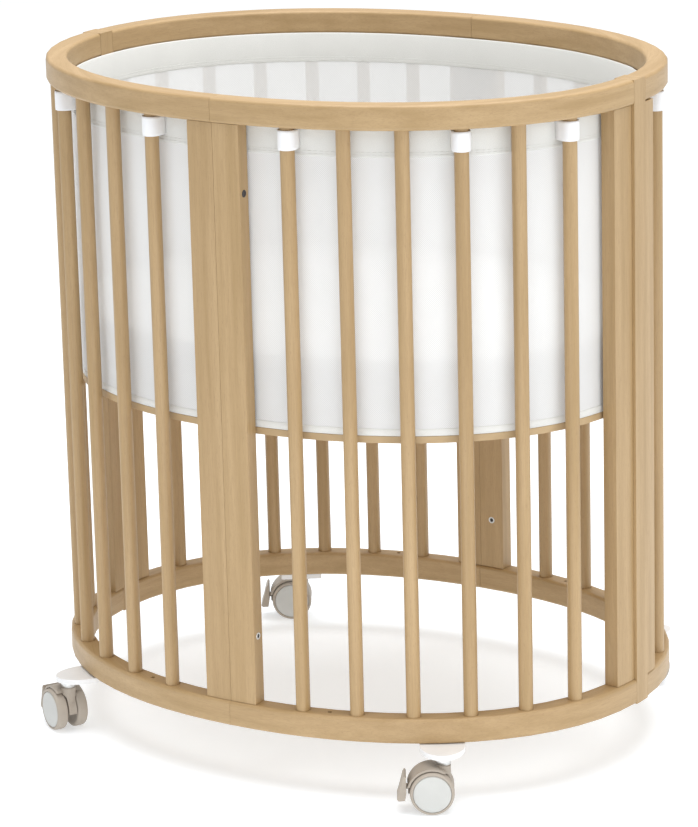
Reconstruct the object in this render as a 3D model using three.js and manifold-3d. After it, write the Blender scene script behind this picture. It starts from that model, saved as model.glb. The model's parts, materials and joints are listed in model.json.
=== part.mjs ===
// Baby crib: four curved quarter panels joined into an oval, a height-adjustable mattress support,
// a mattress, a mesh liner and four swivelling twin-wheel casters with brake pedals.
// Millimetres, +Z up, floor at z = 0, oval centred on the Z axis with its long axis along X.
import * as THREE from "three";
import { mergeVertices } from "three/addons/utils/BufferGeometryUtils.js";
import Module from "manifold-3d";

const wasm = await Module();
wasm.setup();

// Oval frame
const LENGTH = 746;
const WIDTH = 593;
const OVAL_POWER = 2.12; // 2 is a true ellipse, a higher power is squarer
const HEIGHT = 793;
const CASTER_HEIGHT = 68.8; // floor to the underside of the bottom rail
const RAIL_DEPTH = 25;
const TOP_RAIL_HEIGHT = 28;
const BOTTOM_RAIL_HEIGHT = 29.4;
const RAIL_ROUNDING = 4;
const GAP = 0.3; // clearance between pieces that touch on the real object
const QUARTERS = ["right", "back", "left", "front"]; // anticlockwise from the +X end of the oval

// Slats and posts
const SLATS = 6;
const SLAT_RADIUS = 8.2;
const SOCKET_DEPTH = 10;
const BORE_RADIUS = 2.5;
const BORE_DEPTH = 14;
const POST_WIDTH = 33;
const POST_THICKNESS = 18;
const FLUSH_POST_WIDTH = 45; // of the full-height posts that begin the right and left panels
const FLUSH_WIDTH = 25; // the part of them that runs through both rails

// Joints between panels, in mm anticlockwise from the ends of the oval's long and short axes
const LONG_AXIS_JOINT = -5.5;
const SHORT_AXIS_JOINT = 7.6;
// Centres of a panel's first and last slats, from its two ends
const FLUSH_PANEL_SLATS = [103, 93];
const PLAIN_PANEL_SLATS = [88, 92];

// Sleeping surface
const BOARD_THICKNESS = 8;
const BOARD_TOP = 419; // upper setting, above the floor
const BOARD_INSET = RAIL_DEPTH + 0.6;
const BOARD_SLOTS = 7;
const SLOT_WIDTH = 14;
const SLOT_PITCH = 78;
const SLOT_MARGIN = 60;
const MATTRESS_THICKNESS = 86;
const MATTRESS_INSET = 29.5;
const MATTRESS_EDGE = 12;
const LINER_INSET = RAIL_DEPTH + 0.6;
const LINER_THICKNESS = 1.8;

// Casters
const WHEEL_RADIUS = 25;
const WHEEL_INNER = 6; // half the gap between the two wheels
const WHEEL_OUTER = 19.5;
const AXLE_RADIUS = 2.5;
const TRAIL = 13; // swivel axis to axle
const CASTER_SHIFT = 0.004; // share of a quarter from its middle towards the oval's short axis
const SWIVEL_OVERHANG = 22.5; // swivel axis outside the rail's outer face
const BRACKET_WIDTH = 51;
const BRACKET_REACH = 36.5;
const BRACKET_INSIDE = 22;
const BRACKET_THICKNESS = 6;
const STEM_RADIUS = 5;
const STEM_LENGTH = 4; // inside the bracket
const COLLAR_RADIUS = 7.5;
const HOOD_RADIUS = 28.5;
const HOOD_HALF = 16;
const HOOD_FRONT = 0.98; // radians above the level of the axle
const HOOD_REAR = 2.9;
const BOSS_RADIUS = 8.4;
const WEB_REAR = 27; // the web is higher behind the axle, where the pedal hangs on it
const WEB_FRONT = 24.4;
const WEB_HALF = 5; // half the thickness of the housing between the wheels
const PEDAL_HALF = 14;
const LUG_HALF = 2.2;
const PIN_RADIUS = 1.3;
const TRAIL_HEADING = { front: 213, right: 213, back: 213, left: 152 }; // degrees from +X

const COLOURS = {
  beech: new THREE.MeshStandardMaterial({ color: 0xd9b98f, roughness: 0.5 }),
  board: new THREE.MeshStandardMaterial({ color: 0xe0c7a0, roughness: 0.6 }),
  mattress: new THREE.MeshStandardMaterial({ color: 0xf2f1ee, roughness: 0.9 }),
  mesh: new THREE.MeshStandardMaterial({ color: 0xf4f4f2, roughness: 0.85 }),
  bracket: new THREE.MeshStandardMaterial({ color: 0xf0f0f0, roughness: 0.4 }),
  caster: new THREE.MeshStandardMaterial({ color: 0xb0a598, roughness: 0.45 }),
};

const crib = new THREE.Group();

function addMesh(parent, name, geometry, colour) {
  const mesh = new THREE.Mesh(geometry, COLOURS[colour]);
  mesh.name = name;
  parent.add(mesh);
  return mesh;
}

// ---- solids: closed geometries in and out of manifold-3d ----

function toSolid(geometry) {
  const bare = (geometry.index ? geometry.toNonIndexed() : geometry.clone())
    .deleteAttribute("normal")
    .deleteAttribute("uv");
  const merged = mergeVertices(bare, 1e-3);
  return new wasm.Manifold(
    new wasm.Mesh({
      numProp: 3,
      vertProperties: merged.attributes.position.array,
      triVerts: new Uint32Array(merged.index.array),
    }),
  );
}

function toGeometry(solid) {
  const mesh = solid.getMesh();
  const geometry = new THREE.BufferGeometry()
    .setAttribute("position", new THREE.BufferAttribute(mesh.vertProperties, 3))
    .setIndex(new THREE.BufferAttribute(mesh.triVerts, 1));
  geometry.computeVertexNormals();
  return geometry;
}

// A cylinder along Z from z0 to z1.
function upright(radius, z0, z1, x, y, sides, turn = 0) {
  return new THREE.CylinderGeometry(radius, radius, z1 - z0, sides)
    .rotateX(Math.PI / 2)
    .rotateZ(turn)
    .translate(x, y, (z0 + z1) / 2);
}

// A shape drawn in the (x, z) plane, extruded along y from -half to +half.
function crossPlate(shape, half, curveSegments = 8) {
  return new THREE.ExtrudeGeometry(shape, { depth: 2 * half, bevelEnabled: false, curveSegments })
    .translate(0, 0, -half)
    .rotateX(Math.PI / 2);
}

// ---- the oval: positions are counted in quarters of its rim, anticlockwise from +X ----

function outline(angle) {
  const along = Math.abs(Math.cos(angle) / (LENGTH / 2)) ** OVAL_POWER;
  const across = Math.abs(Math.sin(angle) / (WIDTH / 2)) ** OVAL_POWER;
  const radius = (along + across) ** (-1 / OVAL_POWER);
  return new THREE.Vector2(radius * Math.cos(angle), radius * Math.sin(angle));
}

// The point at this polar angle moved inwards, with the outward normal there.
function insetPoint(angle, inset) {
  const step = 1e-4;
  const tangent = outline(angle + step).sub(outline(angle - step)).normalize();
  const normal = new THREE.Vector2(tangent.y, -tangent.x);
  return { point: outline(angle).addScaledVector(normal, -inset), normal };
}

const RIM_SAMPLES = 360; // in each quarter
const rimLengths = [0];
for (let i = 1; i <= RIM_SAMPLES; i++) {
  const turn = Math.PI / 2 / RIM_SAMPLES;
  const ahead = insetPoint(i * turn, RAIL_DEPTH / 2).point;
  const behind = insetPoint((i - 1) * turn, RAIL_DEPTH / 2).point;
  rimLengths.push(rimLengths[i - 1] + ahead.distanceTo(behind));
}
const QUARTER_LENGTH = rimLengths[RIM_SAMPLES]; // along the rail's centre line

// Polar angle of a place on the rim, spaced by arc length along the rail's centre line.
function rimAngle(quarters) {
  const whole = Math.floor(quarters);
  const mirrored = whole % 2 !== 0;
  const share = quarters - whole;
  const target = (mirrored ? 1 - share : share) * QUARTER_LENGTH;
  let i = 1;
  while (i < RIM_SAMPLES && rimLengths[i] < target) i++;
  const part = (target - rimLengths[i - 1]) / (rimLengths[i] - rimLengths[i - 1]);
  const angle = ((i - 1 + part) * Math.PI) / 2 / RIM_SAMPLES;
  return (whole * Math.PI) / 2 + (mirrored ? Math.PI / 2 - angle : angle);
}

const rimPlace = (quarters, inset) => insetPoint(rimAngle(quarters), inset);

class RimCurve extends THREE.Curve {
  constructor(from, to, inset) {
    super();
    Object.assign(this, { from, to, inset });
  }
  getPoint(t, target = new THREE.Vector3()) {
    const { point } = rimPlace(this.from + t * (this.to - this.from), this.inset);
    return target.set(point.x, point.y, 0);
  }
}

function ovalPoints(inset, count) {
  return Array.from({ length: count }, (_, i) => rimPlace((4 * i) / count, inset).point);
}

// A block that follows the rim between two places and two insets.
function rimBlock(from, to, outer, inner, z0, z1) {
  const steps = 4;
  const at = (i, inset) => rimPlace(from + ((to - from) * i) / steps, inset).point;
  const points = [];
  for (let i = 0; i <= steps; i++) points.push(at(i, outer));
  for (let i = steps; i >= 0; i--) points.push(at(i, inner));
  return new THREE.ExtrudeGeometry(new THREE.Shape(points), {
    depth: z1 - z0,
    bevelEnabled: false,
  }).translate(0, 0, z0);
}

// ---- rails, slats and posts ----

function roundedSection(height, depth, radius) {
  const h = height / 2;
  const d = depth / 2;
  const section = new THREE.Shape();
  section.absarc(h - radius, d - radius, radius, 0, Math.PI / 2);
  section.absarc(radius - h, d - radius, radius, Math.PI / 2, Math.PI);
  section.absarc(radius - h, radius - d, radius, Math.PI, 1.5 * Math.PI);
  section.absarc(h - radius, radius - d, radius, 1.5 * Math.PI, 2 * Math.PI);
  return section;
}

const hasFlushPost = (quarter) => quarter % 2 === 0; // the right and left panels

function jointPlace(quarter) {
  const shift = quarter % 2 === 0 ? LONG_AXIS_JOINT : SHORT_AXIS_JOINT;
  return quarter + shift / QUARTER_LENGTH;
}

function slatPlace(quarter, i) {
  const [first, last] = hasFlushPost(quarter) ? FLUSH_PANEL_SLATS : PLAIN_PANEL_SLATS;
  const from = jointPlace(quarter) + first / QUARTER_LENGTH;
  const to = jointPlace(quarter + 1) - last / QUARTER_LENGTH;
  return from + ((to - from) * i) / (SLATS - 1);
}

function slatCylinder(quarter, i, radius, z0, z1) {
  const { point, normal } = rimPlace(slatPlace(quarter, i), RAIL_DEPTH / 2);
  const turn = Math.atan2(normal.y, normal.x);
  return upright(radius, z0, z1, point.x, point.y, 12, turn);
}

// A quarter of a rail with its blind slat sockets between z0 and z1, and any other bores.
function rail(quarter, from, to, centre, height, z0, z1, bores = []) {
  const bar = new THREE.ExtrudeGeometry(roundedSection(height, RAIL_DEPTH, RAIL_ROUNDING), {
    steps: 16,
    curveSegments: 2,
    bevelEnabled: false,
    extrudePath: new RimCurve(from, to, RAIL_DEPTH / 2),
  }).translate(0, 0, centre);
  const sockets = Array.from({ length: SLATS }, (_, i) =>
    slatCylinder(quarter, i, SLAT_RADIUS + GAP, z0, z1),
  );
  let solid = toSolid(bar);
  for (const bore of [...sockets, ...bores]) solid = solid.subtract(toSolid(bore));
  return toGeometry(solid);
}

// A small blind bore in the bottom rail's top face, between the two slats next to a short-axis joint.
function footBore(quarter) {
  const between = hasFlushPost(quarter) ? SLATS - 1.5 : 0.5;
  const { point } = rimPlace(slatPlace(quarter, between), RAIL_DEPTH / 2);
  return upright(BORE_RADIUS, footTop - BORE_DEPTH, footTop + 1, point.x, point.y, 10);
}

const railTop = HEIGHT;
const railUnder = HEIGHT - TOP_RAIL_HEIGHT;
const footUnder = CASTER_HEIGHT;
const footTop = CASTER_HEIGHT + BOTTOM_RAIL_HEIGHT;
const slatLow = footTop - SOCKET_DEPTH;
const slatHigh = railUnder + SOCKET_DEPTH;

// A post between the rails, thinner than they are.
function innerPost(from, to) {
  const inset = (RAIL_DEPTH - POST_THICKNESS) / 2;
  return rimBlock(from, to, inset, RAIL_DEPTH - inset, footTop + GAP, railUnder - GAP);
}

// A post whose first part runs through both rails, flush with their faces.
function flushPost(from, through, to) {
  const tall = rimBlock(from, through, 0, RAIL_DEPTH, footUnder, railTop);
  const middle = (from + through) / 2;
  const shoulder = rimBlock(middle, to, 0, RAIL_DEPTH, footTop + GAP, railUnder - GAP);
  return toGeometry(toSolid(tall).add(toSolid(shoulder)));
}

QUARTERS.forEach((side, quarter) => {
  const panel = new THREE.Group();
  crib.add(panel);
  const share = (length) => length / QUARTER_LENGTH;
  const flush = hasFlushPost(quarter);
  const start = jointPlace(quarter) + share(GAP / 2);
  const end = jointPlace(quarter + 1) - share(GAP / 2);
  const railStart = flush ? start + share(FLUSH_WIDTH + GAP) : start;

  const topCentre = (railTop + railUnder) / 2;
  const footCentre = (footTop + footUnder) / 2;
  addMesh(
    panel,
    `top_rail_${side}`,
    rail(quarter, railStart, end, topCentre, TOP_RAIL_HEIGHT, railUnder - 1, slatHigh + GAP),
    "beech",
  );
  addMesh(
    panel,
    `bottom_rail_${side}`,
    rail(quarter, railStart, end, footCentre, BOTTOM_RAIL_HEIGHT, slatLow - GAP, footTop + 1, [
      footBore(quarter),
    ]),
    "beech",
  );

  const startPost = flush
    ? flushPost(start, start + share(FLUSH_WIDTH), start + share(FLUSH_POST_WIDTH))
    : innerPost(start, start + share(POST_WIDTH));
  addMesh(panel, `post_${side}_start`, startPost, "beech");
  addMesh(panel, `post_${side}_end`, innerPost(end - share(POST_WIDTH), end), "beech");

  for (let i = 0; i < SLATS; i++) {
    const slat = slatCylinder(quarter, i, SLAT_RADIUS, slatLow, slatHigh);
    addMesh(panel, `slat_${side}_${i + 1}`, slat, "beech");
  }
});

// ---- mattress support, mattress and liner ----

function supportBoard() {
  const shape = new THREE.Shape(ovalPoints(BOARD_INSET, 64));
  for (let i = 0; i < BOARD_SLOTS; i++) {
    const x = (i - (BOARD_SLOTS - 1) / 2) * SLOT_PITCH;
    const across = (WIDTH / 2) * Math.sqrt(1 - (x / (LENGTH / 2)) ** 2) - SLOT_MARGIN;
    const r = SLOT_WIDTH / 2;
    const slot = new THREE.Path();
    slot.absarc(x, across - r, r, 0, Math.PI);
    slot.absarc(x, r - across, r, Math.PI, 2 * Math.PI);
    shape.holes.push(slot);
  }
  return new THREE.ExtrudeGeometry(shape, {
    depth: BOARD_THICKNESS,
    bevelEnabled: false,
    curveSegments: 4,
  }).translate(0, 0, BOARD_TOP - BOARD_THICKNESS);
}

function mattressBlock() {
  return new THREE.ExtrudeGeometry(new THREE.Shape(ovalPoints(MATTRESS_INSET, 48)), {
    depth: MATTRESS_THICKNESS - GAP - 2 * MATTRESS_EDGE,
    bevelThickness: MATTRESS_EDGE,
    bevelSize: MATTRESS_EDGE,
    bevelOffset: -MATTRESS_EDGE,
    bevelSegments: 2,
  }).translate(0, 0, BOARD_TOP + GAP + MATTRESS_EDGE);
}

function linerWall() {
  const shape = new THREE.Shape(ovalPoints(LINER_INSET, 56));
  shape.holes.push(new THREE.Path(ovalPoints(LINER_INSET + LINER_THICKNESS, 56)));
  const z0 = BOARD_TOP + GAP;
  return new THREE.ExtrudeGeometry(shape, {
    depth: railUnder - z0,
    bevelEnabled: false,
  }).translate(0, 0, z0);
}

addMesh(crib, "mattress_support", supportBoard(), "board");
addMesh(crib, "mattress", mattressBlock(), "mattress");
addMesh(crib, "liner", linerWall(), "mesh");

// ---- casters: built about the swivel axis, trailing towards -X, floor at z = 0 ----

const axleX = -TRAIL;
const bracketUnder = CASTER_HEIGHT - GAP - BRACKET_THICKNESS;
const hoodTop = WHEEL_RADIUS + HOOD_RADIUS;
const hinge = { x: axleX - 24.3, z: WHEEL_RADIUS + 4 }; // of the brake pedal

// A plate under the rail, with +Y outwards, y = 0 at the rail's outer face and a blind stem socket.
function casterBracket() {
  const half = BRACKET_WIDTH / 2;
  const shape = new THREE.Shape();
  shape.moveTo(-half, -BRACKET_INSIDE);
  shape.lineTo(half, -BRACKET_INSIDE);
  shape.absellipse(0, 0, half, BRACKET_REACH, 0, Math.PI);
  const plate = new THREE.ExtrudeGeometry(shape, {
    depth: BRACKET_THICKNESS,
    bevelEnabled: false,
    curveSegments: 14,
  }).translate(0, 0, bracketUnder);
  const socketTop = bracketUnder + STEM_LENGTH + GAP;
  const socket = upright(STEM_RADIUS + GAP, bracketUnder - 1, socketTop, 0, SWIVEL_OVERHANG, 12);
  return toGeometry(toSolid(plate).subtract(toSolid(socket)));
}

// Two wheels joined by their axle, turned about Y.
function wheelPair() {
  const r = WHEEL_RADIUS;
  const side = [
    [AXLE_RADIUS, WHEEL_INNER],
    [r - 2, WHEEL_INNER],
    [r, WHEEL_INNER + 2],
    [r, WHEEL_OUTER - 3],
    [r - 3, WHEEL_OUTER],
    [0, WHEEL_OUTER],
  ];
  const mirrored = [...side].reverse().map(([x, y]) => [x, -y]);
  const profile = [...mirrored, ...side].map(([x, y]) => new THREE.Vector2(x, y));
  return new THREE.LatheGeometry(profile, 26).translate(axleX, 0, WHEEL_RADIUS);
}

// A round bar along Y through (x, z).
const crossBar = (radius, half, x, z, sides) =>
  new THREE.CylinderGeometry(radius, radius, 2 * half, sides).translate(x, 0, z);

// The hood over both wheels, the web between them, the swivel boss, collar and stem.
function casterHousing() {
  const hood = new THREE.Shape();
  hood.moveTo(axleX, WHEEL_RADIUS);
  hood.absarc(axleX, WHEEL_RADIUS, HOOD_RADIUS, HOOD_FRONT, HOOD_REAR);
  const web = new THREE.Shape();
  web.absarc(axleX, WHEEL_RADIUS, WEB_FRONT, -0.1, Math.PI / 2);
  web.absarc(axleX, WHEEL_RADIUS, WEB_REAR, Math.PI / 2, Math.PI + 0.12);
  web.lineTo(axleX - 9, WHEEL_RADIUS - 6);
  web.lineTo(axleX + 9, WHEEL_RADIUS - 6);

  const boss = upright(BOSS_RADIUS, 36, hoodTop, 0, 0, 20);

  let solid = toSolid(crossPlate(hood, HOOD_HALF, 12)).add(toSolid(boss));
  for (const side of [-1, 1]) {
    const hollow = crossBar(WHEEL_RADIUS + 1.2, 10, axleX, WHEEL_RADIUS, 24);
    hollow.translate(0, side * (WEB_HALF + 10), 0);
    solid = solid.subtract(toSolid(hollow));
  }
  solid = solid
    .add(toSolid(crossPlate(web, WEB_HALF, 10)))
    .add(toSolid(upright(COLLAR_RADIUS, hoodTop - 1, bracketUnder - GAP, 0, 0, 20)))
    .add(toSolid(upright(STEM_RADIUS, bracketUnder - 1, bracketUnder + STEM_LENGTH, 0, 0, 12)))
    .subtract(toSolid(crossBar(AXLE_RADIUS + GAP, WEB_HALF + 1, axleX, WHEEL_RADIUS, 12)))
    .subtract(toSolid(crossBar(PIN_RADIUS + GAP, WEB_HALF + 1, hinge.x, hinge.z, 12)));
  const notch = new THREE.BoxGeometry(8, 2 * (LUG_HALF + GAP), 9);
  return toGeometry(solid.subtract(toSolid(notch.translate(hinge.x - 1, 0, hinge.z))));
}

// A foot plate behind the wheels on a lug whose pin turns in the housing.
function brakePedal() {
  const plate = new THREE.Shape(
    [
      [-28.9, 18],
      [-30.8, 20.4],
      [-32.8, 17],
      [-36.4, 3],
      [-39.4, -7],
      [-37.6, -9.2],
      [-30.4, -8.8],
      [-28.8, 0],
      [-29, 9],
    ].map(([x, z]) => new THREE.Vector2(axleX + x, WHEEL_RADIUS + z)),
  );
  const lug = new THREE.Shape();
  lug.absarc(hinge.x, hinge.z, 2 * PIN_RADIUS, -Math.PI / 2, Math.PI / 2);
  lug.lineTo(hinge.x - 8.5, hinge.z + 2 * PIN_RADIUS);
  lug.lineTo(hinge.x - 8.5, hinge.z - 2 * PIN_RADIUS);
  return toGeometry(
    toSolid(crossPlate(plate, PEDAL_HALF))
      .add(toSolid(crossPlate(lug, LUG_HALF, 8)))
      .add(toSolid(crossBar(PIN_RADIUS, WEB_HALF - 0.4, hinge.x, hinge.z, 12))),
  );
}

QUARTERS.forEach((side, quarter) => {
  // The short axis is at the end of the first and third quarter and the start of the others.
  const shift = quarter % 2 === 0 ? CASTER_SHIFT : -CASTER_SHIFT;
  const { point, normal } = rimPlace(quarter + 0.5 + shift, 0);

  const mounting = new THREE.Group();
  mounting.position.set(point.x, point.y, 0);
  mounting.rotation.z = Math.atan2(normal.y, normal.x) - Math.PI / 2;
  crib.add(mounting);
  addMesh(mounting, `caster_bracket_${side}`, casterBracket(), "bracket");

  const swivel = new THREE.Group();
  const pivot = point.clone().addScaledVector(normal, SWIVEL_OVERHANG);
  swivel.position.set(pivot.x, pivot.y, 0);
  swivel.rotation.z = THREE.MathUtils.degToRad(TRAIL_HEADING[side] + 180);
  crib.add(swivel);
  addMesh(swivel, `caster_housing_${side}`, casterHousing(), "caster");
  addMesh(swivel, `caster_wheels_${side}`, wheelPair(), "caster");
  addMesh(swivel, `brake_pedal_${side}`, brakePedal(), "caster");
});

export default crib;
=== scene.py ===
"""Baby crib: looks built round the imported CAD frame. Metres, +Z up, floor at z = 0."""

import json
import math

import bpy
import numpy as np
from mathutils import Matrix, Vector
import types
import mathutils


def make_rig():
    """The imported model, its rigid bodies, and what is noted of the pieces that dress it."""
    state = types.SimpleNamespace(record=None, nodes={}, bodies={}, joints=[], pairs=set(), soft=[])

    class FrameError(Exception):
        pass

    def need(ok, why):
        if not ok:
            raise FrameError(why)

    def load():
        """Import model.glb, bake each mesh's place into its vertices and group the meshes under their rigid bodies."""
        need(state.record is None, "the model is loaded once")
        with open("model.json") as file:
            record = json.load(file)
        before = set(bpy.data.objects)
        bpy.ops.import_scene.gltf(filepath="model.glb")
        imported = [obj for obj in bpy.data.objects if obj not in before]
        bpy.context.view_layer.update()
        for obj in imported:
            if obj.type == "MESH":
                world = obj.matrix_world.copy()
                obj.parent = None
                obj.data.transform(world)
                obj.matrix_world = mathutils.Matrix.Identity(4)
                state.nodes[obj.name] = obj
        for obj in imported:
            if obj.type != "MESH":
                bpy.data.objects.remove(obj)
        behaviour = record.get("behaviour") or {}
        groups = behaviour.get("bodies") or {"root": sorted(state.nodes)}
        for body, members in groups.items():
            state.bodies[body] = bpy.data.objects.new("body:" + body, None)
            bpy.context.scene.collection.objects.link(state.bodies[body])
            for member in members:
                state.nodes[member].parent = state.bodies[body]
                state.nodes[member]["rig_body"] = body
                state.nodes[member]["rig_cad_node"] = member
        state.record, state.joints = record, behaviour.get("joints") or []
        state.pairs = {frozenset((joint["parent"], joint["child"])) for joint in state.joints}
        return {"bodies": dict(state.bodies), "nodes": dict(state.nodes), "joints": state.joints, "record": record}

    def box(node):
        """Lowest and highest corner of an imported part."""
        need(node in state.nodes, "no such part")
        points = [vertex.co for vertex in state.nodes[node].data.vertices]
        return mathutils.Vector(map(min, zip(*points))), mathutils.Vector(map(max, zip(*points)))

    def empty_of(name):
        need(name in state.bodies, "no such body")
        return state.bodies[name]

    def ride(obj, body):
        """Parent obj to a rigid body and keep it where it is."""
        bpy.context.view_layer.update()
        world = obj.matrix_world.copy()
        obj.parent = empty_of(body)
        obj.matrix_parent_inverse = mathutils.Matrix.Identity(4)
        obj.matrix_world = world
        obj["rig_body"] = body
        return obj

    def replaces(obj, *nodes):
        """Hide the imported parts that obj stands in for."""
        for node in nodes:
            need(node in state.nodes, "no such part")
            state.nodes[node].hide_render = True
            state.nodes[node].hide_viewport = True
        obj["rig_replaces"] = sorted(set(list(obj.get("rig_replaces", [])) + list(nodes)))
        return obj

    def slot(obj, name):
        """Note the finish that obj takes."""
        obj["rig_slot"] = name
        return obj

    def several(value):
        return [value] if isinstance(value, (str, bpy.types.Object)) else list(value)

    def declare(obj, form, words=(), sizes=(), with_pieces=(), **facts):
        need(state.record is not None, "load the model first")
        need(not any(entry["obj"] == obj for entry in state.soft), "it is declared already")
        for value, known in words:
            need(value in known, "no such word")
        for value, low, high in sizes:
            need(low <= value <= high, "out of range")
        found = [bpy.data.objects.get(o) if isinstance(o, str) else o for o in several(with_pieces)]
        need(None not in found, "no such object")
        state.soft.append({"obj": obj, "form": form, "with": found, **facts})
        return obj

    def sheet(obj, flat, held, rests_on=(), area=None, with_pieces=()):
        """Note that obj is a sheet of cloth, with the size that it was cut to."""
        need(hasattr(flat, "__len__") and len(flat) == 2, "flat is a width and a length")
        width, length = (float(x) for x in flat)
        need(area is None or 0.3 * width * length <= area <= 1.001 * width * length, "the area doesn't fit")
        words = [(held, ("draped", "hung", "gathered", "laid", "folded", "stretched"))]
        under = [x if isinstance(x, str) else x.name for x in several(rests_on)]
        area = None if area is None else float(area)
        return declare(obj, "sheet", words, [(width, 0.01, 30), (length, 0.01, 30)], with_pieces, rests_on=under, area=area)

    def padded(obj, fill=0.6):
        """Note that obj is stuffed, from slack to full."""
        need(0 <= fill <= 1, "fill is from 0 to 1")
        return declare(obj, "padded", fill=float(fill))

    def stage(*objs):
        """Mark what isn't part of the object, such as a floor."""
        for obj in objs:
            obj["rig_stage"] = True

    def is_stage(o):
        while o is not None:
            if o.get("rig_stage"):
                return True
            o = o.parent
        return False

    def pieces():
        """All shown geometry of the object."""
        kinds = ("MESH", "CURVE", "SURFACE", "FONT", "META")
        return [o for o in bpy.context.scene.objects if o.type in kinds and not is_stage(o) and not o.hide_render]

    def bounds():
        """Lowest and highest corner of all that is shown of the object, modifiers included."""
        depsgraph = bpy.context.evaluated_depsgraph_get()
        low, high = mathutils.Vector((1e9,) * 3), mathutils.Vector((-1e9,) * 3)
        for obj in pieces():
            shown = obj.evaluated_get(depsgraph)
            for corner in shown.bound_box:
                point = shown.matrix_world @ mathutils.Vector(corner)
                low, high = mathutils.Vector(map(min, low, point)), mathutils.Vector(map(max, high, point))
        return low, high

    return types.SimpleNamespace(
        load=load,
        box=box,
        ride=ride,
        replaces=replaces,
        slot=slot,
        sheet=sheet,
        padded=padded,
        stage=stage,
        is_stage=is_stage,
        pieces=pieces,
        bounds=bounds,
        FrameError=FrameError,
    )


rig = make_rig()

for leftover in list(bpy.data.objects):
    bpy.data.objects.remove(leftover)

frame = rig.load()
CAD_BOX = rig.bounds()

MM = 0.001
SIDES = ("right", "back", "left", "front")  # quarters, anticlockwise from the +X end
SLATS = 6

# Sizes read off the frame
HALF_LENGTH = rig.box("post_right_start")[1].x
HALF_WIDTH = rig.box("top_rail_back")[1].y
MATTRESS_LOW, MATTRESS_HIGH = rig.box("mattress")[0].z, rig.box("mattress")[1].z
LINER_LOW, LINER_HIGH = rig.box("liner")[0].z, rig.box("liner")[1].z
COLLAR_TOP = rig.box("caster_bracket_front")[0].z

# The oval, as the CAD part makes it
OVAL_POWER = 2.12
RAIL_DEPTH = 25 * MM
SLAT_RADIUS = 8.2 * MM
POST_WIDTH = 33 * MM
POST_INSET = 3.5 * MM  # outer face of the posts that stand between the rails
FLUSH_WIDTH = 25 * MM  # the part of the right and left panels' first posts that runs through both rails
LONG_AXIS_JOINT = -5.5 * MM  # joints between panels, anticlockwise from the ends of the oval's axes
SHORT_AXIS_JOINT = 7.6 * MM
RIM_SAMPLES = 360

# Casters
WHEEL_RADIUS = 25 * MM
WHEEL_INNER = 6 * MM
WHEEL_OUTER = 19.5 * MM
HUB_RADIUS = 20.9 * MM
TRAIL_HEADING = {"right": 213, "back": 213, "left": 152, "front": 213}  # degrees
TRAIL = 13 * MM
COLLAR_LOW = 53.5 * MM
COLLAR_RADIUS = 7.5 * MM

# Mattress
MATTRESS_INSET = 29.5 * MM
MATTRESS_EDGE = 12 * MM  # radius along its top and foot
CROWN = 5 * MM
PIPING = 2.6 * MM
QUILT_PITCH = 75 * MM
QUILT_RISE = 3.2 * MM
QUILT_ROOM = 4 * MM  # the painted shade along the sewing lines reaches only this near the top


# ---- the rim ----

def outline(angle):
    along = abs(math.cos(angle) / HALF_LENGTH) ** OVAL_POWER
    across = abs(math.sin(angle) / HALF_WIDTH) ** OVAL_POWER
    radius = (along + across) ** (-1 / OVAL_POWER)
    return Vector((radius * math.cos(angle), radius * math.sin(angle), 0))


def inset_point(angle, inset):
    """The rim at this polar angle moved inwards, and the outward normal there."""
    step = 1e-4
    tangent = (outline(angle + step) - outline(angle - step)).normalized()
    normal = Vector((tangent.y, -tangent.x, 0))
    return outline(angle) - inset * normal, normal


def rim_table():
    turn = math.pi / 2 / RIM_SAMPLES
    points = [inset_point(i * turn, RAIL_DEPTH / 2)[0] for i in range(RIM_SAMPLES + 1)]
    steps = [(b - a).length for a, b in zip(points, points[1:])]
    return np.concatenate([[0], np.cumsum(steps)])


RIM_LENGTHS = rim_table()
QUARTER = float(RIM_LENGTHS[-1])


def rim_place(quarters, inset):
    """Point and outward normal, with places counted in quarters by arc length."""
    whole = math.floor(quarters)
    share = quarters - whole
    mirrored = whole % 2 != 0
    target = (1 - share if mirrored else share) * QUARTER
    angle = float(np.interp(target, RIM_LENGTHS, np.linspace(0, math.pi / 2, RIM_SAMPLES + 1)))
    return inset_point(whole * math.pi / 2 + (math.pi / 2 - angle if mirrored else angle), inset)


def joint_place(quarter):
    """Where the panel of this quarter begins."""
    return quarter + (LONG_AXIS_JOINT if quarter % 2 == 0 else SHORT_AXIS_JOINT) / QUARTER


def rim_normal(point):
    """Outward normal of the rim nearest to a point in plan."""
    slope = OVAL_POWER - 1
    x = math.copysign(abs(point.x / HALF_LENGTH) ** slope / HALF_LENGTH, point.x)
    y = math.copysign(abs(point.y / HALF_WIDTH) ** slope / HALF_WIDTH, point.y)
    return Vector((x, y, 0)).normalized()


# ---- node trees ----

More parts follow.
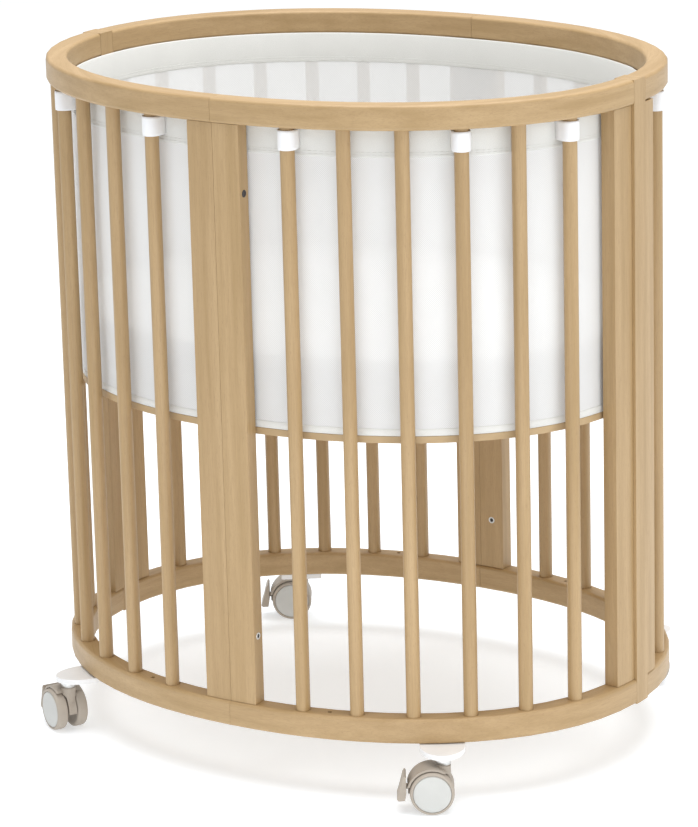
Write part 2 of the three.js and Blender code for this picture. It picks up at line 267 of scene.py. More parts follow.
class Nodes:
    """A short way to write a material's node tree."""

    def __init__(self, name):
        self.material = bpy.data.materials.new(name)
        self.material.use_nodes = True
        self.tree = self.material.node_tree
        self.shader = self.tree.nodes["Principled BSDF"]

    def add(self, kind, settings=None, **inputs):
        node = self.tree.nodes.new(kind)
        for key, value in (settings or {}).items():
            setattr(node, key, value)
        for key, value in inputs.items():
            self.put(node, key.replace("_", " "), value)
        return node

    def put(self, node, key, value):
        socket = node.inputs[int(key[1:])] if key[0] == "i" and key[1:].isdigit() else node.inputs[key]
        if isinstance(value, bpy.types.NodeSocket):
            self.tree.links.new(value, socket)
        else:
            socket.default_value = value

    def math(self, operation, a, b=0.0):
        return self.add("ShaderNodeMath", {"operation": operation}, i0=a, i1=b).outputs[0]

    def noise(self, vector, scale, detail=3.0, roughness=0.5):
        node = self.add(
            "ShaderNodeTexNoise", None, Vector=vector, Scale=scale, Detail=detail, Roughness=roughness
        )
        return node.outputs["Fac"]

    def ramp(self, value, stops):
        node = self.add("ShaderNodeValToRGB", None, Fac=value)
        elements = node.color_ramp.elements
        while len(elements) < len(stops):
            elements.new(0.5)
        for element, (position, colour) in zip(elements, stops):
            element.position = position
            element.color = (*colour, 1)
        return node.outputs["Color"]

    def mix(self, factor, a, b, blend="MIX"):
        node = self.tree.nodes.new("ShaderNodeMix")
        node.data_type = "RGBA"
        node.blend_type = blend
        for index, value in ((0, factor), (6, a), (7, b)):
            if isinstance(value, bpy.types.NodeSocket):
                self.tree.links.new(value, node.inputs[index])
            else:
                node.inputs[index].default_value = (*value, 1) if isinstance(value, tuple) else value
        return node.outputs[2]

    def bump(self, height, strength, distance):
        node = self.add(
            "ShaderNodeBump", None, Height=height, Strength=strength, Distance=distance
        )
        self.tree.links.new(node.outputs["Normal"], self.shader.inputs["Normal"])

    def position(self):
        return self.add("ShaderNodeTexCoord").outputs["Object"]

    def split(self, vector):
        return self.add("ShaderNodeSeparateXYZ", None, Vector=vector).outputs

    def join(self, x, y, z):
        return self.add("ShaderNodeCombineXYZ", None, X=x, Y=y, Z=z).outputs[0]


def scaled(nodes, along, across, up, sizes):
    """A vector whose three parts are lengths divided by sizes, in metres."""
    parts = [nodes.math("DIVIDE", value, size) for value, size in zip((along, across, up), sizes)]
    return nodes.join(*parts)


def beech(name, direction):
    """Oiled beech, with its grain along the rim, upright, or along X."""
    n = Nodes(name)
    x, y, z = n.split(n.position())
    if direction == "rim":
        angle = n.math("ARCTAN2", n.math("DIVIDE", y, HALF_WIDTH), n.math("DIVIDE", x, HALF_LENGTH))
        along = n.math("MULTIPLY", angle, QUARTER * 2 / math.pi)
        squares = n.math("ADD", n.math("MULTIPLY", x, x), n.math("MULTIPLY", y, y))
        axes = (along, n.math("SQRT", squares), z)
    elif direction == "upright":
        axes = (z, x, y)
    else:
        axes = (x, y, z)
    piece = n.add("ShaderNodeObjectInfo").outputs["Random"]
    shifted = (n.math("ADD", axes[0], n.math("MULTIPLY", piece, 7.0)), axes[1], axes[2])
    figure = n.noise(scaled(n, *shifted, (0.30, 0.011, 0.011)), 1.0, 4.0, 0.55)
    pores = n.noise(scaled(n, *shifted, (0.022, 0.0011, 0.0011)), 1.0, 2.0, 0.6)
    flecks = n.noise(scaled(n, *shifted, (0.006, 0.0007, 0.0007)), 1.0, 1.0, 0.5)
    tones = [(0.30, (0.388, 0.254, 0.110)), (0.5, (0.440, 0.294, 0.140)), (0.72, (0.494, 0.338, 0.170))]
    wood = n.ramp(figure, tones)
    wood = n.mix(n.ramp(pores, [(0.36, (0.28,) * 3), (0.52, (0.0,) * 3)]), wood, (0.33, 0.21, 0.095))
    wood = n.mix(n.ramp(flecks, [(0.28, (0.35,) * 3), (0.36, (0.0,) * 3)]), wood, (0.29, 0.175, 0.08))
    tone = n.ramp(piece, [(0.0, (0.94, 0.93, 0.92)), (1.0, (1.0, 1.0, 1.0))])
    n.put(n.shader, "Base Color", n.mix(1.0, wood, tone, "MULTIPLY"))
    n.put(n.shader, "Roughness", n.math("ADD", n.math("MULTIPLY", pores, -0.12), 0.55))
    n.shader.inputs["Coat Weight"].default_value = 0.12
    n.shader.inputs["Coat Roughness"].default_value = 0.35
    n.bump(n.math("ADD", pores, n.math("MULTIPLY", flecks, 0.6)), 0.25, 0.0004)
    return n.material


def plywood():
    """The support board: pale faces and thin dark glue lines round its edge."""
    n = Nodes("birch_plywood")
    x, y, z = n.split(n.position())
    face = n.noise(scaled(n, x, y, z, (0.35, 0.02, 0.02)), 1.0, 4.0, 0.55)
    wood = n.ramp(face, [(0.32, (0.44, 0.31, 0.165)), (0.68, (0.53, 0.385, 0.215))])
    layers = n.math("SINE", n.math("MULTIPLY", z, 2 * math.pi / (1.6 * MM)))
    wood = n.mix(n.ramp(layers, [(0.75, (0.0,) * 3), (0.95, (0.45,) * 3)]), wood, (0.48, 0.31, 0.17))
    n.put(n.shader, "Base Color", wood)
    n.shader.inputs["Roughness"].default_value = 0.6
    n.bump(face, 0.15, 0.0004)
    return n.material


def cloth(name, colour, pitch, alpha=1.0):
    """A knitted or woven cloth with its threads at this pitch, seen through where alpha is below 1."""
    n = Nodes(name)
    x, y, z = n.split(n.position())
    angle = n.math("ARCTAN2", n.math("DIVIDE", y, HALF_WIDTH), n.math("DIVIDE", x, HALF_LENGTH))
    along = n.math("MULTIPLY", angle, QUARTER * 2 / math.pi)
    warp = n.math("SINE", n.math("MULTIPLY", along, 2 * math.pi / pitch))
    weft = n.math("SINE", n.math("MULTIPLY", z, 2 * math.pi / pitch))
    threads = n.math("MULTIPLY", warp, weft)
    soft = n.noise(scaled(n, along, n.math("ADD", x, y), z, (0.09, 0.09, 0.12)), 1.0, 3.0)
    shade = n.ramp(soft, [(0.3, tuple(c * 0.955 for c in colour)), (0.7, colour)])
    between = n.ramp(threads, [(0.0, (0.35,) * 3), (0.5, (0.0,) * 3)])
    n.put(n.shader, "Base Color", n.mix(between, shade, tuple(c * 0.90 for c in colour)))
    n.shader.inputs["Roughness"].default_value = 0.85
    n.shader.inputs["Sheen Weight"].default_value = 0.25
    n.shader.inputs["Sheen Roughness"].default_value = 0.5
    if alpha < 1:
        holes = n.math("MULTIPLY", threads, 0.09)
        n.put(n.shader, "Alpha", n.math("ADD", holes, alpha))
    n.bump(threads, 0.3, 0.00025)
    return n.material


def quilted(name, colour):
    """Brushed mattress ticking, with painted shade along its diagonal sewing lines on top."""
    n = Nodes(name)
    x, y, z = n.split(n.position())
    lines = []
    for kind in ("ADD", "SUBTRACT"):
        wave = n.math("SINE", n.math("MULTIPLY", n.math(kind, x, y), math.pi / QUILT_PITCH))
        lines.append(n.math("ABSOLUTE", wave))
    near = n.math("MINIMUM", *lines)
    on_top = n.math("GREATER_THAN", z, MATTRESS_HIGH - QUILT_ROOM)
    # painted shade: the ticking is darkened along the sewing lines on top, where the quilted grooves would lie in
    # shade
    painted_crease_shade = n.math("MULTIPLY", n.ramp(near, [(0.0, (1.0,) * 3), (0.16, (0.0,) * 3)]), on_top)
    nap = n.noise(n.position(), 420.0, 3.0)
    soft = n.noise(n.position(), 9.0, 3.0)
    shade = n.ramp(soft, [(0.3, tuple(c * 0.95 for c in colour)), (0.7, colour)])
    shade = n.mix(n.math("MULTIPLY", nap, 0.14), shade, tuple(c * 0.72 for c in colour))
    # the ticking's colour with the painted shade along the sewing lines mixed in
    sewn = n.mix(n.math("MULTIPLY", painted_crease_shade, 0.42), shade, tuple(c * 0.60 for c in colour))
    n.put(n.shader, "Base Color", sewn)
    n.shader.inputs["Roughness"].default_value = 0.9
    n.shader.inputs["Sheen Weight"].default_value = 0.15
    n.bump(nap, 0.35, 0.0004)
    return n.material


def plastic(name, colour, roughness):
    """Moulded plastic with a fine spark-eroded texture and slight wear in its colour."""
    n = Nodes(name)
    position = n.position()
    wear = n.noise(position, 35.0, 3.0)
    fine = n.noise(position, 2500.0, 2.0)
    worn = tuple(c * 0.93 for c in colour)
    n.put(n.shader, "Base Color", n.ramp(wear, [(0.3, worn), (0.7, colour)]))
    n.put(n.shader, "Roughness", n.math("ADD", n.math("MULTIPLY", fine, 0.12), roughness))
    n.bump(fine, 0.12, 0.0001)
    return n.material


def metal(name, colour, roughness):
    n = Nodes(name)
    brushed = n.noise(n.position(), 900.0, 2.0)
    shade = n.ramp(brushed, [(0.3, tuple(c * 0.9 for c in colour)), (0.7, colour)])
    n.put(n.shader, "Base Color", shade)
    n.shader.inputs["Metallic"].default_value = 1.0
    n.put(n.shader, "Roughness", n.math("ADD", n.math("MULTIPLY", brushed, 0.15), roughness))
    return n.material


MATERIALS = {
    "rim": beech("beech_rim", "rim"),
    "upright": beech("beech_upright", "upright"),
    "board": plywood(),
    "mesh": cloth("mesh_cloth", (0.85, 0.85, 0.845), 2.2 * MM, alpha=0.875),
    "hem": cloth("hem_cloth", (0.82, 0.82, 0.79), 1.1 * MM, alpha=0.97),
    "webbing": cloth("strap_webbing", (0.90, 0.90, 0.91), 1.4 * MM),
    "cover": cloth("mattress_cover", (0.64, 0.64, 0.625), 3.0 * MM),
    "ticking": quilted("quilted_ticking", (0.64, 0.64, 0.625)),
    "thread": cloth("thread", (0.78, 0.78, 0.75), 0.6 * MM),
    "white": plastic("white_plastic", (0.86, 0.86, 0.86), 0.28),
    "cap": plastic("cap_plastic", (0.57, 0.57, 0.545), 0.4),
    "taupe": plastic("taupe_plastic", (0.40, 0.345, 0.285), 0.42),
    "tyre": plastic("tyre_plastic", (0.42, 0.365, 0.305), 0.5),
    # black for the bolts' dark rings, and painted shade for the discs in the sockets' holes
    "dark": plastic("socket_black_and_hole_shade", (0.03, 0.028, 0.03), 0.45),
    "steel": metal("brushed_steel", (0.72, 0.72, 0.71), 0.28),
}


# ---- mesh helpers ----

def make_piece(name, vertices, faces, material, body=None, slot=None):
    mesh = bpy.data.meshes.new(name)
    mesh.from_pydata([tuple(v) for v in vertices], [], faces)
    mesh.update()
    mesh.polygons.foreach_set("use_smooth", [True] * len(mesh.polygons))
    mesh.materials.append(MATERIALS[material])
    piece = bpy.data.objects.new(name, mesh)
    bpy.context.collection.objects.link(piece)
    if body:
        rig.ride(piece, body)
    if slot:
        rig.slot(piece, slot)
    return piece


def ring_faces(columns, rows):
    """Quads between rings of points, stored ring by ring, that face out of an anticlockwise ring."""
    faces = []
    for low in range(0, (rows - 1) * columns, columns):
        for i in range(columns):
            k = (i + 1) % columns
            faces.append((low + i, low + k, low + columns + k, low + columns + i))
    return faces


def join_parts(parts):
    """One list of vertices and faces from several."""
    vertices, faces = [], []
    for part_vertices, part_faces in parts:
        start = len(vertices)
        vertices.extend(part_vertices)
        faces.extend(tuple(start + i for i in face) for face in part_faces)
    return vertices, faces


def lathe(profile, centre, axis, segments=48):
    """Turns (radius, height) points about axis through centre. A point of radius 0 closes an end."""
    axis = Vector(axis).normalized()
    side = axis.orthogonal().normalized()
    other = axis.cross(side)
    vertices, faces, previous = [], [], None
    for radius, height in profile:
        ring = []
        for i in range(segments if radius else 1):
            turn = 2 * math.pi * i / segments
            around = math.cos(turn) * side + math.sin(turn) * other
            ring.append(len(vertices))
            vertices.append(Vector(centre) + radius * around + height * axis)
        for i in range(segments if previous else 0):
            k = (i + 1) % segments
            below = [previous[step % len(previous)] for step in (i, k)]
            above = [ring[step % len(ring)] for step in (k, i)]
            faces.append(tuple(dict.fromkeys(below + above)))
        previous = ring
    return vertices, faces


def band_along(path, thickness, low, high):
    """A closed strip of this thickness that stands on a plan path of (point, normal) pairs."""
    section = [
        (side * thickness, low + share * (high - low)) for side, share in
        ((-0.5, 0.12), (-0.32, 0), (0.32, 0), (0.5, 0.12), (0.5, 0.88), (0.32, 1), (-0.32, 1), (-0.5, 0.88))
    ]
    count = len(section)
    vertices = [
        point + side * normal + Vector((0, 0, z)) for point, normal in path for side, z in section
    ]
    faces = []
    for i in range(len(path) - 1):
        for k in range(count):
            n = (k + 1) % count
            faces.append((i * count + k, i * count + n, (i + 1) * count + n, (i + 1) * count + k))
    last = (len(path) - 1) * count
    faces.append(tuple(range(count - 1, -1, -1)))
    faces.append(tuple(last + k for k in range(count)))
    return vertices, faces


# ---- wood and plastic of the CAD pieces ----

def finish_node(node, material, bevel=0.0):
    """Gives a CAD node its material and smooth shading, without touching its points."""
    piece = frame["nodes"][node]
    mesh = piece.data
    mesh.materials.clear()
    mesh.materials.append(MATERIALS[material])
    for name in ("custom_normal", "sharp_face", "sharp_edge"):
        if name in mesh.attributes:
            mesh.attributes.remove(mesh.attributes[name])
    mesh.polygons.foreach_set("use_smooth", [True] * len(mesh.polygons))
    piece.modifiers.new("weld", "WELD").merge_threshold = 1e-5
    if bevel:
        rounding = piece.modifiers.new("bevel", "BEVEL")
        rounding.width = bevel
        rounding.segments = 3
        rounding.limit_method = "ANGLE"
        rounding.angle_limit = math.radians(50)
    split = piece.modifiers.new("split", "EDGE_SPLIT")
    split.split_angle = math.radians(50)
    piece.modifiers.new("flat_faces", "WEIGHTED_NORMAL").keep_sharp = True


def finish_wood():
    for side in SIDES:
        finish_node(f"top_rail_{side}", "rim", 1.1 * MM)
        finish_node(f"bottom_rail_{side}", "rim", 1.1 * MM)
        for end in ("start", "end"):
            finish_node(f"post_{side}_{end}", "upright", 2.0 * MM)
        for number in range(1, SLATS + 1):
            finish_node(f"slat_{side}_{number}", "upright")
    finish_node("mattress_support", "board", 0.8 * MM)


def finish_casters():
    for side in SIDES:
        finish_node(f"caster_bracket_{side}", "white", 0.8 * MM)
        finish_node(f"caster_housing_{side}", "taupe", 0.5 * MM)
        finish_node(f"brake_pedal_{side}", "taupe", 0.8 * MM)


# ---- casters ----

def caster_axes(side):
    """Axle centre, axle direction and a point on the swivel axis."""
    low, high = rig.box(f"caster_wheels_{side}")
    heading = math.radians(TRAIL_HEADING[side])
    forward = Vector((math.cos(heading), math.sin(heading), 0))
    axle = (low + high) / 2
    return axle, Vector((forward.y, -forward.x, 0)), axle - TRAIL * forward


def tyre_profile():
    inner, outer, rim, seat = WHEEL_INNER, WHEEL_OUTER, WHEEL_RADIUS, HUB_RADIUS + 0.7 * MM
    return [
        (0, inner + 0.6 * MM), (8 * MM, inner + 0.6 * MM), (9 * MM, inner + 1.6 * MM),
        (17 * MM, inner + 2.2 * MM), (19.5 * MM, inner + 0.4 * MM), (22.5 * MM, inner),
        (rim - 1.2 * MM, inner + 0.5 * MM), (rim - 0.3 * MM, inner + 1.6 * MM),
        (rim, inner + 3.2 * MM), (rim, outer - 3.8 * MM), (rim - 0.3 * MM, outer - 2.0 * MM),
        (rim - 1.1 * MM, outer - 0.6 * MM), (rim - 2 * MM, outer - 0.1 * MM),
        (seat + 0.3 * MM, outer), (seat, outer - 0.4 * MM), (seat, outer - 1.4 * MM), (0, outer - 1.4 * MM),
    ]


def cap_profile():
    """A shallow dome with a rounded edge."""
    base = WHEEL_OUTER - 1.35 * MM
    edge = HUB_RADIUS + 0.4 * MM
    return [
        (edge, base), (edge, base + 0.7 * MM), (edge - 0.5 * MM, base + 1.3 * MM),
        (edge - 1.6 * MM, base + 1.7 * MM), (15 * MM, base + 2.2 * MM), (9 * MM, base + 2.5 * MM),
        (4 * MM, base + 2.6 * MM), (0, base + 2.65 * MM),
    ]


def make_wheels(side):
    axle, along, _ = caster_axes(side)
    tyres = join_parts([lathe(tyre_profile(), axle, turn * along, 64) for turn in (1, -1)])
    reach, radius = WHEEL_INNER + 1 * MM, 2.4 * MM
    spindle = lathe([(0, -reach), (radius, -reach), (radius, reach), (0, reach)], axle, along, 24)
    pair = join_parts([tyres, spindle])
    wheels = make_piece(f"wheel_pair_{side}", *pair, "tyre", f"wheels_{side}", slot="taupe_rubber")
    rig.replaces(wheels, f"caster_wheels_{side}")
    caps = join_parts([lathe(cap_profile(), axle, turn * along, 64) for turn in (1, -1)])
    make_piece(f"hub_caps_{side}", *caps, "cap", f"wheels_{side}", slot="white_plastic")


def make_collar(side):
    """The bright swivel sleeve between the bracket and the housing."""
    _, _, swivel = caster_axes(side)
    base = Vector((swivel.x, swivel.y, 0))
    radius, low, high = COLLAR_RADIUS, COLLAR_LOW, COLLAR_TOP
    profile = [
        (radius + 0.1 * MM, low + 1.2 * MM), (radius + 1.0 * MM, low + 1.6 * MM),
        (radius + 1.1 * MM, high - 2.2 * MM), (radius + 0.6 * MM, high - 1.2 * MM),
        (radius + 0.1 * MM, high - 1.0 * MM),
    ]
    sleeve = lathe(profile, base, (0, 0, 1), 40)
    make_piece(f"swivel_sleeve_{side}", *sleeve, "steel", f"caster_{side}")


# ---- liner ----

LINER_INSET = 26.6 * MM  # middle of the cloth
HEM_HEIGHT = 34 * MM
HEM_TUCK = 1.6 * MM  # the hem rises this far past the rail's rounded lower edge
BINDING_HEIGHT = 8 * MM
STRAP_HEIGHT = 22 * MM
STRAP_DROP = 3 * MM  # below the rail
STRAP_SLATS = {"right": (1, 3, 6), "back": (1, 4, 6), "left": (1, 3, 6), "front": (1, 4, 6)}
STRAP_THICKNESS = 1.5 * MM
THREAD_RADIUS = 0.28 * MM
STITCH_LIFT = 0.18 * MM
AROUND = 900
ROWS = 64


def slat_room(quarters):
    """1 in the middle of a panel's slats, 0 beside the posts, where the cloth has no room to belly."""
    share = quarters % 1
    edge = min(share, 1 - share)
    return min(1.0, max(0.0, (edge - 0.085) / 0.05))


def belly(quarters, height):
    """How far the cloth stands out of its plain ring, from its tension between the slats."""
    share = (height - LINER_LOW) / (LINER_HIGH - HEM_HEIGHT - LINER_LOW)
    if share >= 1:
        return 0.0
    swell = math.sin(math.pi * min(1.0, max(0.0, share))) ** 0.8
    folds = 0.5 * math.sin(2 * math.pi * (quarters * 5.0 + 0.35 * share))
    folds += 0.3 * math.sin(2 * math.pi * (quarters * 8.0 - 0.5 * share) + 1.1)
    folds += 0.2 * math.sin(2 * math.pi * (quarters * 17.0 + 0.2 * share) + 2.3)
    return MM * swell * (0.25 + slat_room(quarters) * (0.9 + 0.8 * folds))


def ring_path(inset, count=AROUND):
    return [rim_place(4 * i / count, inset) for i in range(count)]


def make_mesh_wall():
    path = ring_path(LINER_INSET)
    vertices = []
    for j in range(ROWS):
        height = LINER_LOW + (LINER_HIGH - 0.4 * MM - LINER_LOW) * j / (ROWS - 1)
        for i, (point, normal) in enumerate(path):
            out = belly(4 * i / AROUND, height)
            vertices.append(point + out * normal + Vector((0, 0, height)))
    faces = ring_faces(AROUND, ROWS)
    return make_piece("liner_wall", vertices, faces, "mesh", "frame", slot="liner_mesh")


def closed_band(name, inset, thickness, low, high, material):
    """A flat endless band round the whole rim."""
    rounded = [
        (-0.5, 0.04), (-0.3, 0), (0.3, 0), (0.5, 0.04), (0.5, 0.96), (0.3, 1), (-0.3, 1), (-0.5, 0.96),
    ]
    path = ring_path(inset)
    vertices = [
        point + side * thickness * normal + Vector((0, 0, low + share * (high - low)))
        for side, share in rounded for point, normal in path
    ]
    faces = ring_faces(AROUND, len(rounded))
    last = (len(rounded) - 1) * AROUND
    for i in range(AROUND):
        k = (i + 1) % AROUND
        faces.append((last + i, last + k, k, i))
    return make_piece(name, vertices, faces, material, "frame", slot="liner_mesh")


def make_stitches(name, height, inset):
    """One endless row of stitches: a fine thread that dips into the cloth."""
    path = ring_path(inset, 2400)
    section = [(math.cos(t), math.sin(t)) for t in np.linspace(0, 2 * math.pi, 5)[:-1]]
    vertices = []
    for i, (point, normal) in enumerate(path):
        lift = STITCH_LIFT * math.cos(2 * math.pi * i / 8)
        for a, b in section:
            rise = Vector((0, 0, height + THREAD_RADIUS * b))
            vertices.append(point + (lift + THREAD_RADIUS * a) * normal + rise)
    faces = []
    for i in range(len(path)):
        k = (i + 1) % len(path)
        for a in range(4):
            b = (a + 1) % 4
            faces.append((i * 4 + a, k * 4 + a, k * 4 + b, i * 4 + b))
    return make_piece(name, vertices, faces, "thread", "frame", slot="liner_mesh")


def strap_path(centre, normal):
    """Plan path of a strap: off the liner, round the slat and back to the liner."""
    tangent = Vector((-normal.y, normal.x, 0))
    reach = SLAT_RADIUS + STRAP_THICKNESS * 0.5 + 0.7 * MM
    hem_face = centre - (LINER_INSET - RAIL_DEPTH / 2 - 1.0 * MM) * normal
    path = [
        (hem_face + (reach - 0.6 * MM) * tangent, tangent),
        (centre + reach * tangent - 5 * MM * normal, tangent),
    ]
    for degrees in range(0, 181, 10):
        turn = math.radians(degrees)
        out = math.cos(turn) * tangent + math.sin(turn) * normal
        path.append((centre + reach * out, out))
    path.append((centre - reach * tangent - 5 * MM * normal, -tangent))
    path.append((hem_face - (reach - 0.6 * MM) * tangent, -tangent))
    return path


def make_strap(side, number):
    low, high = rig.box(f"slat_{side}_{number}")
    centre = Vector(((low.x + high.x) / 2, (low.y + high.y) / 2, 0))
    normal = rim_normal(centre)
    top = LINER_HIGH - STRAP_DROP
    band = band_along(strap_path(centre, normal), STRAP_THICKNESS, top - STRAP_HEIGHT, top)
    return make_piece(f"strap_{side}_{number}", *band, "webbing", "frame", slot="liner_mesh")


def make_liner():
    wall = make_mesh_wall()
    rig.replaces(wall, "liner")
    hem_foot = LINER_HIGH - HEM_HEIGHT
    binding_top = LINER_LOW + BINDING_HEIGHT
    hem = closed_band("liner_hem", LINER_INSET, 1.9 * MM, hem_foot, LINER_HIGH + HEM_TUCK, "hem")
    binding = closed_band("liner_binding", LINER_INSET, 1.7 * MM, LINER_LOW, binding_top, "hem")
    trims = [hem, binding]
    for name, height in (("hem", hem_foot + 3 * MM), ("edge", hem_foot + 6 * MM)):
        for face, inset in (("out", LINER_INSET - 0.95 * MM), ("in", LINER_INSET + 0.95 * MM)):
            trims.append(make_stitches(f"stitches_{name}_{face}", height, inset))
    for side in SIDES:
        trims.extend(make_strap(side, number) for number in STRAP_SLATS[side])
    around = 4 * QUARTER - 2 * math.pi * (LINER_INSET - RAIL_DEPTH / 2)
    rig.sheet(wall, flat=(around, LINER_HIGH - LINER_LOW), held="stretched", with_pieces=trims)


# ---- mattress ----

def quilting(x, y):
    """0 on the diagonal sewing lines and 1 in the middle of each soft diamond."""
    a = abs(math.sin(math.pi * (x + y) / QUILT_PITCH))
    b = abs(math.sin(math.pi * (x - y) / QUILT_PITCH))
    return (min(a, b)) ** 0.5


def mattress_profile():
    """(inset from the mattress edge, height) from the foot of the side to the rim of the top."""
    points = []
    for i in range(7):
        turn = math.pi / 2 * i / 6
        inset, rise = MATTRESS_EDGE * (1 - math.sin(turn)), MATTRESS_EDGE * (1 - math.cos(turn))
        points.append((inset, MATTRESS_LOW + rise))
    low, high = MATTRESS_LOW + MATTRESS_EDGE, MATTRESS_HIGH - MATTRESS_EDGE
    for i in range(1, 10):
        share = i / 10
        points.append((-0.6 * MM * math.sin(math.pi * share), low + share * (high - low)))
    for i in range(7):
        turn = math.pi / 2 * i / 6
        inset, drop = MATTRESS_EDGE * (1 - math.cos(turn)), MATTRESS_EDGE * (1 - math.sin(turn))
        points.append((inset, MATTRESS_HIGH - drop))
    return points


def make_mattress():
    count, rings = 480, 110
    angles = [2 * math.pi * i / count for i in range(count)]
    vertices = []
    for inset, height in mattress_profile():
        for a in angles:
            vertices.append(inset_point(a, MATTRESS_INSET + inset)[0] + Vector((0, 0, height)))
    edge = [inset_point(a, MATTRESS_INSET + MATTRESS_EDGE)[0] for a in angles]
    for ring in range(1, rings):
        share = 1 - ring / rings
        crown = (CROWN * (1 - share ** 4) - CROWN * 0.4) * min(1, (1 - share) * 8)
        for point in edge:
            x, y = share * point.x, share * point.y
            soft = quilting(x, y) * QUILT_RISE * min(1.0, (1 - share) * 12)
            vertices.append(Vector((x, y, MATTRESS_HIGH - 1.5 * MM + crown + soft)))
    rows = len(vertices) // count
    faces = ring_faces(count, rows)
    top = len(vertices)
    vertices.append(Vector((0, 0, vertices[-1].z)))
    vertices.append(Vector((0, 0, MATTRESS_LOW)))
    for i in range(count):
        k = (i + 1) % count
        faces.append(((rows - 1) * count + i, (rows - 1) * count + k, top))
        faces.append((k, i, top + 1))
    pad = make_piece("mattress_pad", vertices, faces, "ticking", "mattress", slot="mattress_cover")
    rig.replaces(pad, "mattress")
    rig.padded(pad, fill=0.9)


def make_piping(name, height, inset):
    """A sewn cord round the mattress at this height."""
    count, sides = 600, 10
    vertices = []
    for i in range(count):
        point, normal = inset_point(2 * math.pi * i / count, inset)
        for k in range(sides):
            turn = 2 * math.pi * k / sides
            rise = Vector((0, 0, height + PIPING / 2 * math.sin(turn)))
            vertices.append(point + PIPING / 2 * (math.cos(turn) * normal) + rise)
    faces = []
    for i in range(count):
        here, there = i * sides, (i + 1) % count * sides
        for k in range(sides):
            m = (k + 1) % sides
            faces.append((here + k, there + k, there + m, here + m))
    make_piece(name, vertices, faces, "cover", "mattress", slot="mattress_cover")


# ---- hardware ----

BOLT_HEIGHTS = (178 * MM, 687 * MM)
BOLT_RINGS = ("steel", "dark")
INSERT_HEIGHT = 160 * MM
RING_RADIUS = 4.2 * MM


def recess(name, centre, out, radius, ring_material):
    """A bolt socket or insert seen end on: a thin ring that stands in the wood, with a dark disc painted as the shade
    inside its hole.
    """
    profile = [
        (radius * 0.54, -0.1 * MM), (radius * 0.58, 0.25 * MM), (radius * 0.95, 0.3 * MM),
        (radius, 0.02 * MM), (radius, -0.6 * MM),
    ]
    ring = lathe(profile, centre, out, 32)
    make_piece(f"{name}_ring", *ring, ring_material, "frame")
    # painted shade: a near-black disc stands for the shadowed inside of the hole, which is not modelled
    hole_shade = lathe([(radius * 0.60, 0.06 * MM), (0, 0.03 * MM)], centre, out, 32)
    make_piece(f"{name}_bore", *hole_shade, "dark", "frame")


def make_hardware():
    """Cross-bolt sockets beside the short-axis joints, and threaded inserts in the long panels' posts."""
    for quarter in (1, 3):
        side = SIDES[quarter]
        point, normal = rim_place(joint_place(quarter) + POST_WIDTH / QUARTER, RAIL_DEPTH / 2)
        tangent = Vector((-normal.y, normal.x, 0))
        for number, height in enumerate(BOLT_HEIGHTS):
            centre = point + 0.35 * MM * tangent + Vector((0, 0, height))
            recess(f"bolt_{side}_{number}", centre, tangent, RING_RADIUS, BOLT_RINGS[number])
    for quarter in (0, 2):
        side = SIDES[quarter]
        places = {
            "start": joint_place(quarter) + FLUSH_WIDTH / 2 / QUARTER,
            "end": joint_place(quarter + 1) - POST_WIDTH / 2 / QUARTER,
        }
        for end, place in places.items():
            inset = RAIL_DEPTH if end == "start" else RAIL_DEPTH - POST_INSET
            point, normal = rim_place(place, inset)
            centre = point + Vector((0, 0, INSERT_HEIGHT))
            recess(f"insert_{side}_{end}", centre, -normal, RING_RADIUS, "steel")


# ---- studio ----

CAMERA_AZIMUTH = 0.5855  # radians from straight in front, towards +X
CAMERA_DISTANCE = 4.392
CAMERA_HEIGHT = 1.574
CAMERA_PITCH = 0.2688
CAMERA_YAW = 0.0033
CAMERA_ROLL = -0.0252
CAMERA_LENS = 168.35


def add_camera():
    az = CAMERA_AZIMUTH
    yaw = Matrix.Rotation(CAMERA_YAW, 3, "Z")
    level = yaw @ Vector((-math.sin(az), math.cos(az), 0))
    right = yaw @ Vector((math.cos(az), math.sin(az), 0))
    forward = math.cos(CAMERA_PITCH) * level - math.sin(CAMERA_PITCH) * Vector((0, 0, 1))
    up = right.cross(forward)
    rolled_right = math.cos(CAMERA_ROLL) * right + math.sin(CAMERA_ROLL) * up
    rolled_up = math.cos(CAMERA_ROLL) * up - math.sin(CAMERA_ROLL) * right
    camera = bpy.data.objects.new("camera", bpy.data.cameras.new("camera"))
    bpy.context.collection.objects.link(camera)
    turned = Matrix((rolled_right, rolled_up, -forward)).transposed().to_4x4()
    place = Vector((math.sin(az) * CAMERA_DISTANCE, -math.cos(az) * CAMERA_DISTANCE, CAMERA_HEIGHT))
    camera.matrix_world = Matrix.Translation(place) @ turned
    camera.data.lens = CAMERA_LENS
    camera.data.sensor_width = 36
    camera.data.clip_end = 200
    bpy.context.scene.camera = camera


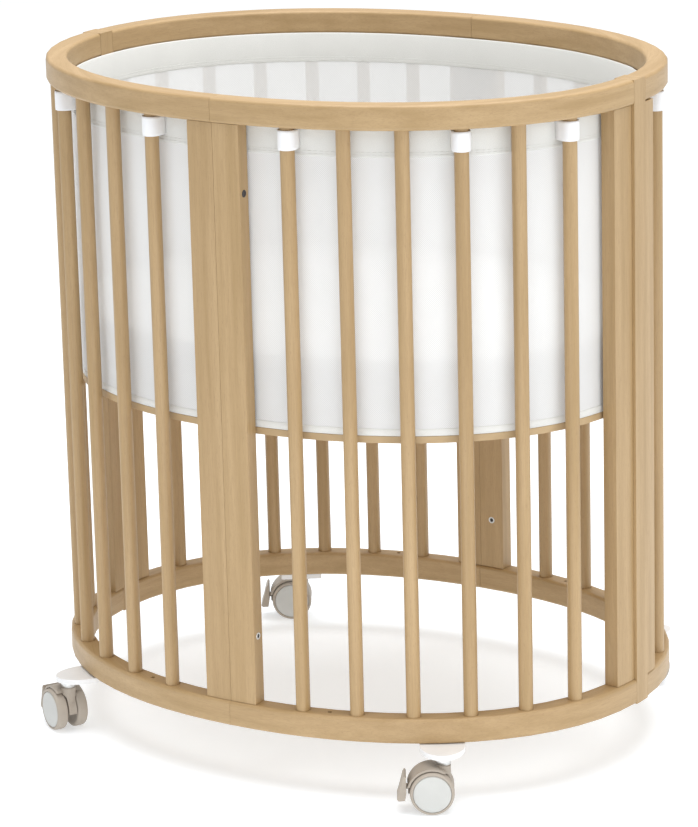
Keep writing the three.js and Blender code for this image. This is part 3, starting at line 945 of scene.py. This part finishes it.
def add_softbox(name, place, aim, size, power):
    light = bpy.data.lights.new(name, "AREA")
    light.shape = "RECTANGLE"
    light.size, light.size_y = size
    light.energy = power
    lamp = bpy.data.objects.new(name, light)
    bpy.context.collection.objects.link(lamp)
    lamp.location = place
    lamp.rotation_euler = (Vector(aim) - Vector(place)).to_track_quat("-Z", "Y").to_euler()


def add_floor():
    n = Nodes("studio_floor")
    n.put(n.shader, "Base Color", (0.68, 0.72, 0.76, 1))
    n.put(n.shader, "Emission Color", (1, 1, 1, 1))
    n.put(n.shader, "Emission Strength", 0.47)
    n.shader.inputs["Roughness"].default_value = 0.7
    MATERIALS["floor"] = n.material
    half = 30.0
    corners = [(-half, -half, 0), (half, -half, 0), (half, half, 0), (-half, half, 0)]
    floor = make_piece("studio_floor", corners, [(0, 1, 2, 3)], "floor")
    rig.stage(floor)


def add_studio():
    add_floor()
    world = bpy.data.worlds.new("studio")
    world.use_nodes = True
    world.node_tree.nodes["Background"].inputs["Color"].default_value = (1, 1, 1, 1)
    world.node_tree.nodes["Background"].inputs["Strength"].default_value = 0.64
    bpy.context.scene.world = world
    middle = (0, 0, 0.45)
    add_softbox("top", (0.2, 0.1, 3.8), middle, (3.4, 3.4), 156)
    add_softbox("bounce_card", (0.5, -1.05, 0.08), (0, 0, 0.12), (1.3, 0.3), 2.6)
    add_softbox("side", (4.0, -0.6, 1.4), middle, (2.4, 2.4), 28)
    bpy.context.scene.view_settings.view_transform = "Standard"


finish_wood()
finish_casters()
for caster in SIDES:
    make_wheels(caster)
    make_collar(caster)
make_liner()
make_mattress()
make_piping("mattress_piping_top", MATTRESS_HIGH - 3.2 * MM, MATTRESS_INSET + 3.2 * MM)
make_piping("mattress_piping_foot", MATTRESS_LOW + 3.6 * MM, MATTRESS_INSET + 3.6 * MM)
make_hardware()
add_camera()
add_studio()

with open("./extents.json", "w") as sizes:
    boxes = {"cad": [list(v) for v in CAD_BOX], "visual": [list(v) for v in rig.bounds()]}
    json.dump(boxes, sizes)
